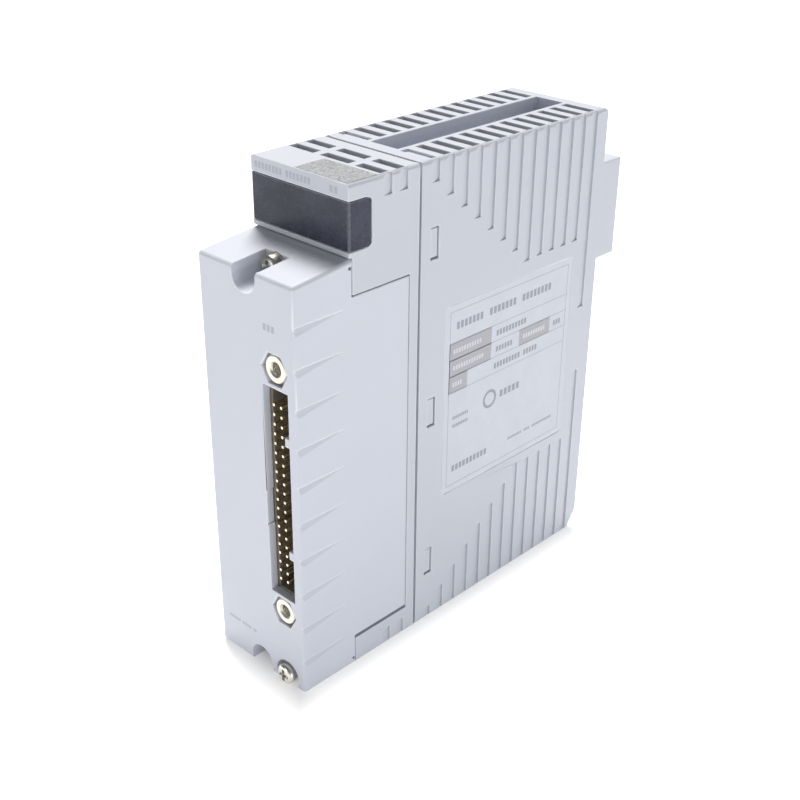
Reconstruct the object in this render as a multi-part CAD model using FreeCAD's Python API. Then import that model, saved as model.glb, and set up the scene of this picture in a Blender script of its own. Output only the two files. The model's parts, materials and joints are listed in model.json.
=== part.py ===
"""Plug-in controller I/O module with its forty-way cable adapter.

Millimetres. X runs across the narrow body, Y from the cable side (front, -Y) to the backplane
side (rear, +Y) and Z up. The origin is under the middle of the whole object. Depths along Y are
given as distances behind the adapter's front face and turned into Y by back().
"""
import FreeCAD, Part
import math
import os

Vec = FreeCAD.Vector

# ---- overall sizes -------------------------------------------------------------------------
width = 32.8                 # across the body
height = 130.0
adapter_depth = 17.8         # adapter box, without its side wings
seam_gap = 0.2               # adapter to front housing
front_depth = 21.6           # front housing, seam to its rear edge
joint_gap = 0.8              # shadow groove between the two housings
rear_depth = 71.6            # rear housing, without the shroud
shroud_reach = 9.4           # backplane shroud behind the rear face

wall = 1.8                   # moulded wall
fit = 0.1                    # clearance of pieces that seat in each other
edge_round = 1.0             # long outer edges
small_round = 0.5
board_margin = 0.5           # air round boards and connectors
over = 1.0                   # how far a cutting tool runs past a face

# ---- vents and side notches ----------------------------------------------------------------
vent_pitch = 5.08
vent_width = 2.5
vent_depth = 5.0             # thickness of the vented top and bottom
vent_outer_wall = 1.2        # wall left outside a slot
first_vent_edge = 5.9        # rear edge of the first slot behind the rear housing's front edge
blind_vent_depth = 0.7       # the first slot is only a groove
vent_margin = 4.5            # least distance from the last slot to the rear face
front_vents = 2
front_vent_edge = 12.6       # rear edge of the first slot behind the seam
front_vent_web = 2.4         # web between slots of a row
front_vent_middle = 9.4      # length of a row's middle slot
notch_width = 2.9
notch_depth = 0.65
front_notch_length = 4.9
top_notch_first = 5.4        # length of the first side notch, and what each next one adds
top_notch_step = 4.15
low_notch_first = 3.6
low_notch_step = 4.37
stepped_notches = 8
long_notch = 34.2            # notches after the stepped ones
last_notch = 55.0

# ---- guide channels, shroud and latches ------------------------------------------------------
channel_width = 8.9
channel_depth = 12.0
channel_start = 4.0          # behind the rear housing's front edge
channel_end = 4.4            # in front of its rear face
channel_wall = 1.4
shroud_drop = 15.4           # shroud's top below the body's top
shroud_room = 1.4            # air between the backplane connector and the shroud, above and below
shroud_inset = 1.2           # from the body's sides
shroud_wall = 1.5
rear_low_run = 4.0           # sloped corner below the rear face
rear_low_rise = 6.0
rear_top_chamfer = 1.0
latch_low = 18.8             # lowest latch above the floor
latch_drop = 20.5            # highest latch below the top
latch_window_height = 8.0
latch_window_width = 2.7
latch_window_start = 3.4     # behind the rear housing's front edge
latch_gap = 0.3              # round the barb, open behind it
tongue_thickness = 1.5
barb_recess = 0.35           # barb face below the housing's side
lip_thickness = 1.2
lip_reach = 2.0              # of the front housing's lip into the rear one

# ---- labels ------------------------------------------------------------------------------------
film = 0.2
label_inset = 9.4            # rating label behind the rear housing's front edge
label_width = 51.2
label_height = 54.0
label_drop = 0.7             # label's middle below the body's middle
label_round = 1.0
top_label_width = 17.0
top_label_depth = 9.2
top_label_front = 0.6        # behind the display block's front face

# ---- display block -------------------------------------------------------------------------------
display_step = 1.0           # display block in front of the seam
display_drop = 17.0          # display block's underside below the top
window_height = 11.7
window_drop = 4.0            # window's upper edge below the top
window_wrap = 7.2            # length of the window's side wings
window_thickness = 1.4
window_round = 1.5
aperture_width = 24.0
aperture_height = 8.4
carrier_depth = 3.0
led_count = 4
led_pitch = 5.0
led_width = 2.4
led_height = 1.2
led_reach = 0.4
display_board_thickness = 1.0

# ---- adapter -------------------------------------------------------------------------------------
adapter_face_drop = 19.1     # top edge of its front face below the body's top
adapter_back_drop = 17.3
adapter_wall = 1.6
adapter_face_wall = 2.2
wing_thickness = 1.8
wing_length = 18.4
wing_bottom = 8.9
wing_drop = 26.3
wing_gap = 0.25
wing_low_gap = 0.9
stripe_pitch = 10.1
stripe_drop = 9.6            # first groove below the front face's top edge
stripe_foot = 8.0            # least height of the last groove
stripe_depth = 0.5
stripe_height = 2.2
stripe_length = 15.0
dot_radius = 0.45
dot_depth = 1.0
dot_inset = 0.65             # dots in front of the seam
dot_margin = 2.0             # dots inside the adapter's top and bottom
cover_thickness = 1.4

# ---- cable header --------------------------------------------------------------------------------
header_x = 9.4
header_lift = 0.15           # header's middle above the middle of the adapter's face
pin_pitch = 2.54
pin_rows = 20
pin_size = 0.64
pin_chamfer = 0.2
pin_recess = 0.6             # pin tips behind the adapter's face
opening_width = 8.6
opening_lap = 0.7            # ends of the header hidden behind the opening's edge
header_width = 9.2
header_end_wall = 1.4
header_depth = 9.0
header_floor = 2.5
cavity_width = 6.9
cavity_end = 3.87            # cavity past the middle of the last pins
key_height = 9.6
key_offset = -4.8            # key slot below the header's middle
key_depth = 0.3              # key slot's relief in the front wall
key_groove = 0.5             # key slot in the insulator's side wall
clip_heights = (-15.3, 16.0)
clip_width = 1.6
clip_height = 2.5
jack_margin = 4.1            # middle of a jack nut beyond the header's end
jack_flats = 7.0
jack_length = 6.0
jack_recess = 0.4
jack_hole = 1.65
jack_hole_length = 5.0
jack_countersink = 2.0
jack_stud = 1.2
jack_gap = 0.3
jack_boss_wall = 1.0
adapter_board_front = 12.2
adapter_board_thickness = 1.6

# ---- inner plug and receptacle -------------------------------------------------------------------
plug_width = 9.0
plug_end = 4.87              # plug past the middle of its last contacts
plug_reach = 3.0             # into the front housing
receptacle_wall = 1.6
receptacle_depth = 9.5
contact_size = 0.64
contact_reach = 3.5          # in front of the plug's face
plug_play = 0.2

# ---- fixing screws (adapter to module) -----------------------------------------------------------
screw_radius = 1.5
screw_play = 0.05
screw_head_radius = 2.8
screw_head_height = 2.4
screw_length = 16.0          # under the head
washer_radius = 3.0
washer_thickness = 0.8
screw_low_z = 3.1
pocket_radius = 4.1
pocket_depth = 10.2
pocket_low_centre = 2.2      # lower pocket's centre above the floor
pocket_inset = 1.7           # upper pocket's centre below the front face's top edge
pocket_wall = 1.3
drive_width = 0.8
drive_depth = 1.3
drive_reach = 1.8
insert_radius = 2.4
insert_length = 8.0

# ---- ground screw --------------------------------------------------------------------------------
ground_x = 10.0
ground_z = 3.4
ground_radius = 1.5
ground_head_radius = 2.8
ground_head_height = 2.4
ground_length = 7.2
ground_recess_radius = 4.2
ground_recess_drop = 0.6     # recess's centre below the screw
lock_washer_radius = 2.6
lock_washer_thickness = 0.8
flat_washer_radius = 3.2
flat_washer_thickness = 0.6
plate_thickness = 1.2
plate_height = 6.4
plate_width = 8.6
plate_boss_radius = 2.8
plate_boss_length = 5.4

# ---- boards and their parts ----------------------------------------------------------------------
board_thickness = 1.6
main_board_x = -9.0
output_board_x = 7.4
board_bottom = 8.0           # and as far below the top
board_front_gap = 5.6        # behind the seam
board_rear_gap = 3.2         # in front of the rear face
spacer_radius = 2.4
spacer_hole = 1.3
board_screw_head = 2.2
board_screw_head_height = 1.4
board_fix_margin = 8.0       # screws from the boards' rear edge
board_fix_front = 12.0       # screws behind the rear housing's front edge
backplane_width = 9.6
backplane_end = 2.11         # connector past the middle of its last contacts
backplane_depth = 12.0
backplane_sunk = 4.6         # connector face inside the shroud's mouth
backplane_columns = 3
backplane_rows = 8
backplane_hole = 1.2
backplane_hole_depth = 5.0
backplane_contact = 0.7
transformer_rise = 9.0
transformer_length = 12.0
transformer_tall = 10.0
transformer_pitch = 16.0
transformer_start = 32.0
transformer_run = 30.0       # runs are behind the rear housing's front edge
capacitor_radius = 4.0
capacitor_rise = 11.0
capacitor_pitch = 10.5
capacitor_start = 30.0
capacitor_run = 46.0
part_rows = 4
processor_edge = 18.0
processor_rise = 2.2
processor_heights = (44.0, 78.0)
processor_run = 22.0
isolator_count = 8
isolator_rise = 2.0
isolator_length = 10.0
isolator_tall = 7.0
isolator_pitch = 11.0
isolator_start = 26.0
isolator_run = 26.0
link_run = 58.0
link_length = 5.0
link_tall = 40.0
link_drop = 10.0             # board link's middle below the header's

# ---- worked-out places ---------------------------------------------------------------------------
half = width / 2
rear_vents = int((rear_depth - first_vent_edge - vent_margin) / vent_pitch) + 1
pin_span = (pin_rows - 1) * pin_pitch
cavity_height = pin_span + 2 * cavity_end
header_height = cavity_height + 2 * header_end_wall
opening_height = header_height - 2 * opening_lap
jack_span = header_height + 2 * jack_margin
plug_height = pin_span + 2 * plug_end
backplane_height = (backplane_rows - 1) * pin_pitch + 2 * backplane_end
shroud_height = backplane_height + 2 * (shroud_room + shroud_wall)
display_bottom = height - display_drop
window_bottom = height - window_drop - window_height
adapter_face_top = height - adapter_face_drop
adapter_back_top = height - adapter_back_drop
wing_top = height - wing_drop
shroud_top = height - shroud_drop
label_bottom = height / 2 - label_drop - label_height / 2
latch_heights = (latch_low, (latch_low + height - latch_drop) / 2, height - latch_drop)
stripe_top = adapter_face_top - stripe_drop
stripe_count = int((stripe_top - stripe_foot) / stripe_pitch) + 1
header_z = adapter_face_top / 2 + header_lift
board_top = height - board_bottom
pocket_high_centre = adapter_face_top - pocket_inset
screw_heights = (screw_low_z, pocket_high_centre)
ground_head_front = flat_washer_thickness + lock_washer_thickness + ground_head_height
ground_proud = ground_head_front - adapter_face_wall
seam = adapter_depth + seam_gap
joint = seam + front_depth
rear_front = joint + joint_gap
rear_face = rear_front + rear_depth
total_depth = ground_proud + rear_face + shroud_reach
face_y = ground_proud - total_depth / 2
header_left = header_x - header_width / 2
inner = half - wall
narrow_inner = half - wing_thickness - wing_gap - adapter_wall
front_wall_back = seam + adapter_face_wall
wide_front = front_vent_edge + seam - vent_width - wall


def back(depth):
    """Y of a plane that lies depth behind the adapter's front face."""
    return face_y + depth


# ---- helpers -------------------------------------------------------------------------------------
def block(x0, x1, d0, d1, z0, z1):
    """Box between two X, two depths and two Z."""
    return Part.makeBox(x1 - x0, d1 - d0, z1 - z0, Vec(x0, back(d0), z0))


def rod(x, z, d0, d1, radius):
    """Round bar along Y."""
    return Part.makeCylinder(radius, d1 - d0, Vec(x, back(d0), z), Vec(0, 1, 0))


def cross_bar(d, z, x0, x1, radius):
    """Round bar along X."""
    return Part.makeCylinder(radius, x1 - x0, Vec(x0, back(d), z), Vec(1, 0, 0))


def prism(points, direction):
    """Straight solid on a closed outline."""
    outline = Part.makePolygon(points + [points[0]])
    return Part.Face(outline).extrude(direction)


def rounded(solid, radius, wanted):
    """Fillet of the edges that the test picks."""
    edges = [edge for edge in solid.Edges if wanted(edge)]
    return solid.makeFillet(radius, edges)


def runs_along(edge, axis):
    """True for a straight edge along the axis with index 0, 1 or 2."""
    ends = [vertex.Point for vertex in edge.Vertexes]
    if len(ends) != 2:
        return False
    step = ends[1] - ends[0]
    return abs(abs(step[axis]) - step.Length) < 1e-6 * max(step.Length, 1.0)


def mirrored(solid):
    """The same solid on the other side of the body."""
    return solid.mirror(Vec(0, 0, 0), Vec(1, 0, 0))


def both_sides(solids):
    """The solids and their mirror images."""
    return solids + [mirrored(solid) for solid in solids]


def group(solids):
    """Separate solids in one node."""
    return Part.makeCompound(solids)


def hexagon(x, z, d0, d1, flats):
    """Hexagonal bar along Y with its flats above and below."""
    corner = flats / math.sqrt(3)
    turns = [math.radians(60 * k) for k in range(6)]
    points = [Vec(x + corner * math.cos(t), back(d0), z + corner * math.sin(t)) for t in turns]
    return prism(points, Vec(0, d1 - d0, 0))


def side_notch(rear_edge, z0, z1):
    """Sloped notch in the +X side, flush at its front and deepest at its rear edge."""
    front = rear_edge - notch_width
    points = [Vec(half, back(front), z0), Vec(half + over, back(front), z0),
              Vec(half + over, back(rear_edge), z0), Vec(half - notch_depth, back(rear_edge), z0)]
    return prism(points, Vec(0, 0, z1 - z0))


def pin_grid(x, z, columns, rows, size, d0, d1):
    """Square bars along Y in a grid at the pin pitch."""
    bars = []
    for column in range(columns):
        for row in range(rows):
            px = x + (column - (columns - 1) / 2) * pin_pitch
            pz = z + (row - (rows - 1) / 2) * pin_pitch
            bars.append(block(px - size / 2, px + size / 2, d0, d1, pz - size / 2, pz + size / 2))
    return bars


def cross_drive(x, z, front):
    """Cross recess in a screw head, as two crossed bars."""
    end = front + drive_depth
    flat = block(x - drive_reach, x + drive_reach, front - over, end, z - drive_width / 2,
                 z + drive_width / 2)
    upright = block(x - drive_width / 2, x + drive_width / 2, front - over, end, z - drive_reach,
                    z + drive_reach)
    return [flat, upright]


# ---- rear housing --------------------------------------------------------------------------------
def vent_edges():
    """Depths of the rear edges of the rear housing's slots."""
    return [rear_front + first_vent_edge + k * vent_pitch for k in range(rear_vents)]


def notch_length(k, first, step):
    """Length of side notch k, measured from the top or the bottom."""
    if k == rear_vents - 1:
        return last_notch
    if k >= stepped_notches:
        return long_notch
    return first + k * step


def rear_slots():
    """Slots through the top and bottom, the first pair only grooves."""
    slots = []
    inside = channel_width / 2 + channel_wall + fit
    outside = half - vent_outer_wall
    for k, edge in enumerate(vent_edges()):
        depth = blind_vent_depth if k == 0 else vent_depth + over
        slots.append(block(inside, outside, edge - vent_width, edge, height - depth, height + over))
        slots.append(block(inside, outside, edge - vent_width, edge, -over, depth))
    return both_sides(slots)


def rear_notches():
    """Side notches above and below, longer towards the rear."""
    cuts = []
    for k, edge in enumerate(vent_edges()):
        top = notch_length(k, top_notch_first, top_notch_step)
        low = notch_length(k, low_notch_first, low_notch_step)
        cuts.append(side_notch(edge, height - top, height + over))
        cuts.append(side_notch(edge, -over, low))
    return both_sides(cuts)


def corner_wedge(run, rise, z, up):
    """Wedge that slopes the rear face's corner at height z; up is 1 below and -1 above."""
    side = -half - over
    points = [Vec(side, back(rear_face - 2 * run), z - up * rise),
              Vec(side, back(rear_face + run), z + 2 * up * rise),
              Vec(side, back(rear_face + run), z - up * rise)]
    return prism(points, Vec(width + 2 * over, 0, 0))


def rear_shell():
    """Outer body with rounded long edges, sloped rear corners and its cavity."""
    body = block(-half, half, rear_front, rear_face, 0, height)
    body = rounded(body, edge_round, lambda edge: runs_along(edge, 1))
    body = body.cut([corner_wedge(rear_low_run, rear_low_rise, 0, 1),
                     corner_wedge(rear_top_chamfer, rear_top_chamfer, height, -1)])
    mouth = block(-inner, inner, rear_front - over, rear_front + channel_start - channel_wall,
                  wall, height - wall)
    room = block(-inner, inner, rear_front, rear_face - wall, vent_depth, height - vent_depth)
    slope = [Vec(-half, back(rear_face - rear_low_run - wall), vent_depth),
             Vec(-half, back(rear_face - wall), vent_depth),
             Vec(-half, back(rear_face - wall), rear_low_rise + wall)]
    room = room.cut(prism(slope, Vec(width, 0, 0)))
    return body.cut([mouth, room])


def channel(z0, z1):
    """Long guide channel between two Z."""
    return block(-channel_width / 2, channel_width / 2, rear_front + channel_start,
                 rear_face - channel_end, z0, z1)


def channel_trough(z0, z1):
    """Walls and floor round a guide channel."""
    side = channel_width / 2 + channel_wall
    return block(-side, side, rear_front + channel_start - channel_wall,
                 rear_face - channel_end + channel_wall, z0, z1)


def shroud():
    """Open frame round the backplane connector."""
    reach = half - shroud_inset
    low = shroud_top - shroud_height
    frame = block(-reach, reach, rear_face - wall, rear_face + shroud_reach, low, shroud_top)
    frame = rounded(frame, small_round, lambda edge: runs_along(edge, 1))
    hole = block(-reach + shroud_wall, reach - shroud_wall, rear_face, rear_face + shroud_reach + over,
                 low + shroud_wall, shroud_top - shroud_wall)
    return frame, hole


def label_recess(thickness):
    """Pocket or film of the rating label on the +X side."""
    start = rear_front + label_inset
    pad = block(half - thickness, half, start, start + label_width, label_bottom,
                label_bottom + label_height)
    return rounded(pad, label_round, lambda edge: runs_along(edge, 0))


def latch_window(z):
    """Window for a latch barb through the side wall."""
    start = rear_front + latch_window_start
    return block(inner - over, half + over, start, start + latch_window_width,
                 z - latch_window_height / 2, z + latch_window_height / 2)


def rear_housing():
    frame, hole = shroud()
    body = rear_shell()
    troughs = [channel_trough(height - channel_depth - channel_wall, height - small_round),
               channel_trough(small_round, channel_depth + channel_wall)]
    body = body.fuse(troughs + [frame]).removeSplitter()
    cuts = [channel(height - channel_depth, height + over), channel(-over, channel_depth), hole]
    cuts.append(backplane_port())
    cuts += rear_slots()
    cuts += rear_notches()
    cuts += both_sides([latch_window(z) for z in latch_heights])
    cuts.append(label_recess(film + fit))
    return body.cut(cuts)


def backplane_port():
    """Hole in the rear wall for the backplane connector."""
    z = backplane_centre()
    return block(-backplane_width / 2 - fit, backplane_width / 2 + fit, rear_face - wall - over,
                 rear_face + over, z - backplane_height / 2 - fit, z + backplane_height / 2 + fit)


def backplane_centre():
    return shroud_top - shroud_height / 2


# ---- front housing -------------------------------------------------------------------------------
def front_slots():
    """Two rows of three slots through the top and the bottom."""
    cuts = []
    middle = front_vent_middle / 2
    for k in range(front_vents):
        edge = seam + front_vent_edge + k * vent_pitch
        for z0, z1 in ((height - vent_depth - over, height + over), (-over, vent_depth + over)):
            cuts.append(block(-middle, middle, edge - vent_width, edge, z0, z1))
            outer = block(middle + front_vent_web, half - vent_outer_wall, edge - vent_width, edge,
                          z0, z1)
            cuts += both_sides([outer])
    return cuts


def front_notches():
    """Side notches at the ends of the front housing's slots."""
    cuts = []
    for k in range(front_vents):
        edge = seam + front_vent_edge + k * vent_pitch
        cuts.append(side_notch(edge, height - front_notch_length, height + over))
        cuts.append(side_notch(edge, -over, front_notch_length))
    return both_sides(cuts)


def front_room():
    """Cavity, narrower where the adapter's wings lie outside it."""
    rear = joint + over
    narrow = block(-narrow_inner, narrow_inner, front_wall_back, rear, vent_depth,
                   height - vent_depth)
    above = block(-inner, inner, wide_front, rear, wing_top + wall, height - vent_depth)
    behind = block(-inner, inner, seam + wing_length + wall, rear, vent_depth, height - vent_depth)
    return narrow.fuse([above, behind])


def wing_recess():
    """Step in the +X side that takes the adapter's wing."""
    depth = wing_thickness + wing_gap
    return block(half - depth, half + over, seam - over, seam + wing_length + wing_gap,
                 wing_bottom - wing_low_gap, wing_top + wing_gap)


def joint_lip():
    """Rim that the rear housing slides over."""
    side = inner - fit
    start = joint - wall
    end = rear_front + lip_reach
    ring = block(-side, side, start, end, wall + fit, height - wall - fit)
    opening = block(-side + lip_thickness, side - lip_thickness, start - over, end + over,
                    wall + fit + lip_thickness, height - wall - fit - lip_thickness)
    return ring.cut(opening)


def latch_tongue(z):
    """Tongue with a barb that stands in the rear housing's window."""
    outer = inner - fit
    reach = latch_window_height / 2 - latch_gap
    start = rear_front + latch_window_start
    end = start + latch_window_width - latch_gap
    tongue = block(outer - tongue_thickness, outer, joint - wall, end + wall, z - reach, z + reach)
    barb = block(outer - tongue_thickness, half - barb_recess, start + fit, end, z - reach, z + reach)
    return tongue.fuse(barb)


def receptacle_port():
    """Hole in the front wall for the receptacle."""
    side = plug_width / 2 + plug_play + receptacle_wall + fit
    up = plug_height / 2 + plug_play + receptacle_wall + fit
    return block(-side, side, seam - over, front_wall_back + over, header_z - up, header_z + up)


def insert_boss(z):
    """Boss that holds a threaded insert."""
    boss = rod(0, z, seam, seam + insert_length + wall, insert_radius + wall)
    return boss.common(block(-half, half, seam, joint, 0, height))


def insert_bore(z):
    return rod(0, z, seam - over, seam + insert_length + seam_gap, insert_radius)


def window_outline(thickness):
    """Band of the display window round the front and both sides."""
    front = seam - display_step
    rear = front + window_wrap
    band = block(-half, half, front, rear, window_bottom, window_bottom + window_height)
    band = rounded(band, window_round, lambda edge: runs_along(edge, 0)
                   and edge.BoundBox.YMax > back(rear) - fit)
    core = block(-half + thickness, half - thickness, front + thickness, rear + over,
                 window_bottom - over, window_bottom + window_height + over)
    return band.cut(core)


def aperture(clearance, d0, d1):
    """Opening behind the window, or the block that fills it."""
    middle = window_bottom + window_height / 2
    side = aperture_width / 2 - clearance
    up = aperture_height / 2 - clearance
    return block(-side, side, d0, d1, middle - up, middle + up)


def top_label_film(thickness):
    """Film or its shallow pocket on the display block's top."""
    front = seam - display_step + top_label_front
    side = half - edge_round
    return block(side - top_label_width, side, front, front + top_label_depth, height - thickness,
                 height)


def front_housing():
    body = block(-half, half, seam, joint, 0, height)
    nose = block(-half, half, seam - display_step, joint, display_bottom, height)
    body = body.fuse(nose).removeSplitter()
    body = rounded(body, edge_round, lambda edge: runs_along(edge, 1) and edge.Length > front_depth - fit)
    cuts = [front_room(), receptacle_port(), window_outline(window_thickness)]
    cuts.append(aperture(0, seam - display_step, front_wall_back + over))
    cuts += both_sides([wing_recess()])
    body = body.cut(cuts)
    adds = [insert_boss(z) for z in screw_heights] + [joint_lip()]
    for z in latch_heights:
        adds += both_sides([latch_tongue(z)])
    body = body.fuse(adds)
    cuts = [insert_bore(z) for z in screw_heights]
    cuts += front_slots()
    cuts += front_notches()
    cuts.append(top_label_film(film))
    return body.cut(cuts).removeSplitter()


# ---- display -------------------------------------------------------------------------------------
def led_places():
    return [(k - (led_count - 1) / 2) * led_pitch for k in range(led_count)]


def indicator_carrier():
    start = seam - display_step + window_thickness + fit
    plate = aperture(fit, start, start + carrier_depth)
    z = window_bottom + window_height / 2
    holes = [block(x - led_width / 2, x + led_width / 2, start - over, start + carrier_depth + over,
                   z - led_height / 2, z + led_height / 2) for x in led_places()]
    return plate.cut(holes)


def status_leds():
    start = seam - display_step + window_thickness + fit
    z = window_bottom + window_height / 2
    lamps = []
    for x in led_places():
        lamps.append(block(x - led_width / 2, x + led_width / 2, start + led_reach,
                           start + carrier_depth, z - led_height / 2, z + led_height / 2))
    return group(lamps)


def display_board():
    start = seam - display_step + window_thickness + fit + carrier_depth
    return aperture(-board_margin, start, start + display_board_thickness).common(
        block(-narrow_inner + fit, narrow_inner - fit, start, rear_face, 0, height - vent_depth - fit))


# ---- inner plug, receptacle and inserts ------------------------------------------------------------
def front_receptacle():
    side = plug_width / 2 + plug_play
    up = plug_height / 2 + plug_play
    outer = block(-side - receptacle_wall, side + receptacle_wall, seam + fit, seam + receptacle_depth,
                  header_z - up - receptacle_wall, header_z + up + receptacle_wall)
    mouth = block(-side, side, seam - over, seam + plug_reach + plug_play, header_z - up,
                  header_z + up)
    holes = pin_grid(0, header_z, 2, pin_rows, contact_size + 2 * fit, seam, seam + plug_reach
                     + contact_reach + plug_play)
    return outer.cut([mouth] + holes + contact_tails())


def receptacle_contacts():
    return group(contact_tails())


def contact_tails():
    """Fixed pins of the receptacle, behind the room for the plug's contacts."""
    tail = seam + receptacle_depth + wall
    start = seam + plug_reach + contact_reach + plug_play + fit
    return pin_grid(0, header_z, 2, pin_rows, contact_size, start, tail)


def screw_inserts():
    inserts = []
    for z in screw_heights:
        sleeve = rod(0, z, seam + seam_gap, seam + insert_length + seam_gap, insert_radius)
        inserts.append(sleeve.cut(rod(0, z, seam, seam + insert_length + over,
                                      screw_radius + screw_play)))
    return group(inserts)


# ---- backplane connector ---------------------------------------------------------------------------
def backplane_face():
    return rear_face + shroud_reach - backplane_sunk


def backplane_connector():
    z = backplane_centre()
    face = backplane_face()
    body = block(-backplane_width / 2, backplane_width / 2, face - backplane_depth, face,
                 z - backplane_height / 2, z + backplane_height / 2)
    holes = pin_grid(0, z, backplane_columns, backplane_rows, backplane_hole,
                     face - backplane_hole_depth, face + over)
    return body.cut(holes)


def backplane_contacts():
    z = backplane_centre()
    face = backplane_face()
    return group(pin_grid(0, z, backplane_columns, backplane_rows, backplane_contact,
                          face - backplane_hole_depth, face - film))


# ---- boards ----------------------------------------------------------------------------------------
def board(x):
    front = seam + board_front_gap
    rear = rear_face - board_rear_gap
    plate = block(x, x + board_thickness, front, rear, board_bottom, board_top)
    z = backplane_centre()
    clear = block(-backplane_width / 2 - board_margin, backplane_width / 2 + board_margin,
                  backplane_face() - backplane_depth - board_margin, rear_face,
                  z - backplane_height / 2 - board_margin, z + backplane_height / 2 + board_margin)
    holes = [cross_bar(d, zz, x - over, x + board_thickness + over, spacer_hole)
             for d, zz in fixing_places()]
    return plate.cut([clear] + holes)


def fixing_places():
    """Depth and height of the four board fixings, clear of the guide channels."""
    near = rear_front + board_fix_front
    far = rear_face - board_rear_gap - board_fix_margin
    low = channel_depth + channel_wall + spacer_radius + board_margin
    return [(d, z) for d in (near, far) for z in (low, height - low)]


def board_spacers():
    """Short pillars from the -X wall to the main board and long ones between the boards."""
    pillars = []
    for d, z in fixing_places():
        short = cross_bar(d, z, -inner, main_board_x, spacer_radius)
        long = cross_bar(d, z, main_board_x + board_thickness, output_board_x, spacer_radius)
        for pillar in (short, long):
            pillars.append(pillar.cut(cross_bar(d, z, -half, half, spacer_hole)))
    return group(pillars)


def board_screws():
    screws = []
    for d, z in fixing_places():
        outer = output_board_x + board_thickness
        shank = cross_bar(d, z, -inner + fit, outer, spacer_hole - fit)
        head = cross_bar(d, z, outer, outer + board_screw_head_height, board_screw_head)
        screws.append(shank.fuse(head).removeSplitter())
    return group(screws)


def chip(x0, x1, d, z, length, tall):
    """Flat package centred at a depth and a height."""
    return block(x0, x1, d - length / 2, d + length / 2, z - tall / 2, z + tall / 2)


def transformers():
    """Isolation transformers in a column on the main board's inner side."""
    face = main_board_x + board_thickness
    d = rear_front + transformer_run
    return group([chip(face, face + transformer_rise, d, transformer_start + k * transformer_pitch,
                       transformer_length, transformer_tall) for k in range(part_rows)])


def capacitors():
    """Electrolytic cans standing on the main board."""
    face = main_board_x + board_thickness
    d = rear_front + capacitor_run
    return group([cross_bar(d, capacitor_start + k * capacitor_pitch, face, face + capacitor_rise,
                            capacitor_radius) for k in range(part_rows)])


def processor_chips():
    """Controller and gate array on the main board's outer side."""
    d = rear_front + processor_run
    return group([chip(main_board_x - processor_rise, main_board_x, d, z, processor_edge,
                       processor_edge) for z in processor_heights])


def isolator_chips():
    """Isolators and converters in a column on the output board."""
    face = output_board_x + board_thickness
    d = rear_front + isolator_run
    return group([chip(face, face + isolator_rise, d, isolator_start + k * isolator_pitch,
                       isolator_length, isolator_tall) for k in range(isolator_count)])


def board_link():
    """Stacking connector between the two boards."""
    return chip(main_board_x + board_thickness, output_board_x, rear_front + link_run,
                header_z - link_drop, link_length, link_tall)


# ---- adapter ---------------------------------------------------------------------------------------
def adapter_outer():
    points = [Vec(-half, back(0), 0), Vec(-half, back(adapter_depth), 0),
              Vec(-half, back(adapter_depth), adapter_back_top), Vec(-half, back(0), adapter_face_top)]
    body = prism(points, Vec(width, 0, 0))
    front = back(0) + fit
    body = rounded(body, edge_round, lambda edge: edge.BoundBox.YMax < front
                   or (abs(edge.BoundBox.YLength - adapter_depth) < fit))
    return body


def adapter_wing():
    """Side wing that lies in the front housing's step."""
    wing = block(half - wing_thickness, half, adapter_depth - adapter_face_wall,
                 seam + wing_length, wing_bottom, wing_top)
    return wing


def adapter_room():
    rear = adapter_depth + over
    side = half - adapter_wall
    return block(-side, side, adapter_face_wall, rear, adapter_wall, adapter_face_top - adapter_wall)


def pocket_block(z, outward):
    """Solid round a screw pocket, between its far wall and the adapter's outside."""
    side = pocket_radius + pocket_wall
    end = z - side * outward
    low, high = sorted((end, z + pocket_radius * outward))
    return block(-side, side, small_round, adapter_depth, low, high)


def pocket(z, outward):
    """Round-bottomed slot that is open to the front and upwards or downwards."""
    bore = rod(0, z, -over, pocket_depth, pocket_radius)
    low, high = sorted((z, z + (pocket_radius + over) * outward))
    mouth = block(-pocket_radius, pocket_radius, -over, pocket_depth, low, high)
    return bore.fuse(mouth)


def side_stripe(z):
    """Shallow wedge groove in the +X side that fades out to the rear."""
    slope = math.degrees(math.atan2(stripe_depth, stripe_length))
    points = [Vec(half - stripe_depth, back(0), z), Vec(half + stripe_depth, back(0), z),
              Vec(half + stripe_depth, back(0), z - 2 * stripe_height)]
    groove = prism(points, Vec(0, stripe_length + over, 0))
    groove.rotate(Vec(half, back(0), z), Vec(0, 0, 1), -slope)
    lead = Vec(0, -over, 0)
    return groove.fuse(prism(points, lead))


def side_dot(z):
    return cross_bar(adapter_depth - dot_inset, z, half - dot_depth, half + over, dot_radius)


def header_opening():
    side = opening_width / 2
    up = opening_height / 2
    hole = block(header_x - side, header_x + side, -over, adapter_face_wall + over, header_z - up,
                 header_z + up)
    edge = header_x + side
    clips = [block(edge - clip_width, edge + over, fit, adapter_face_wall, header_z + z - clip_height / 2,
                   header_z + z + clip_height / 2) for z in clip_heights]
    key = block(header_x - side - key_depth, header_x, -over, adapter_face_wall + over,
                header_z + key_offset - key_height / 2, header_z + key_offset + key_height / 2)
    return hole.cut(clips).fuse(key)


def jack_places():
    return [header_z - jack_span / 2, header_z + jack_span / 2]


def jack_boss(z):
    reach = jack_flats / 2 + jack_gap + jack_boss_wall
    return block(header_left, header_x + reach, small_round, jack_recess + jack_length + wall, z - reach,
                 z + reach)


def jack_pocket(z):
    seat = jack_recess + jack_length
    recess = hexagon(header_x, z, -over, seat, jack_flats + 2 * jack_gap)
    return recess.fuse(rod(header_x, z, seat - fit, seat + wall + over, jack_stud + fit))


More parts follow.
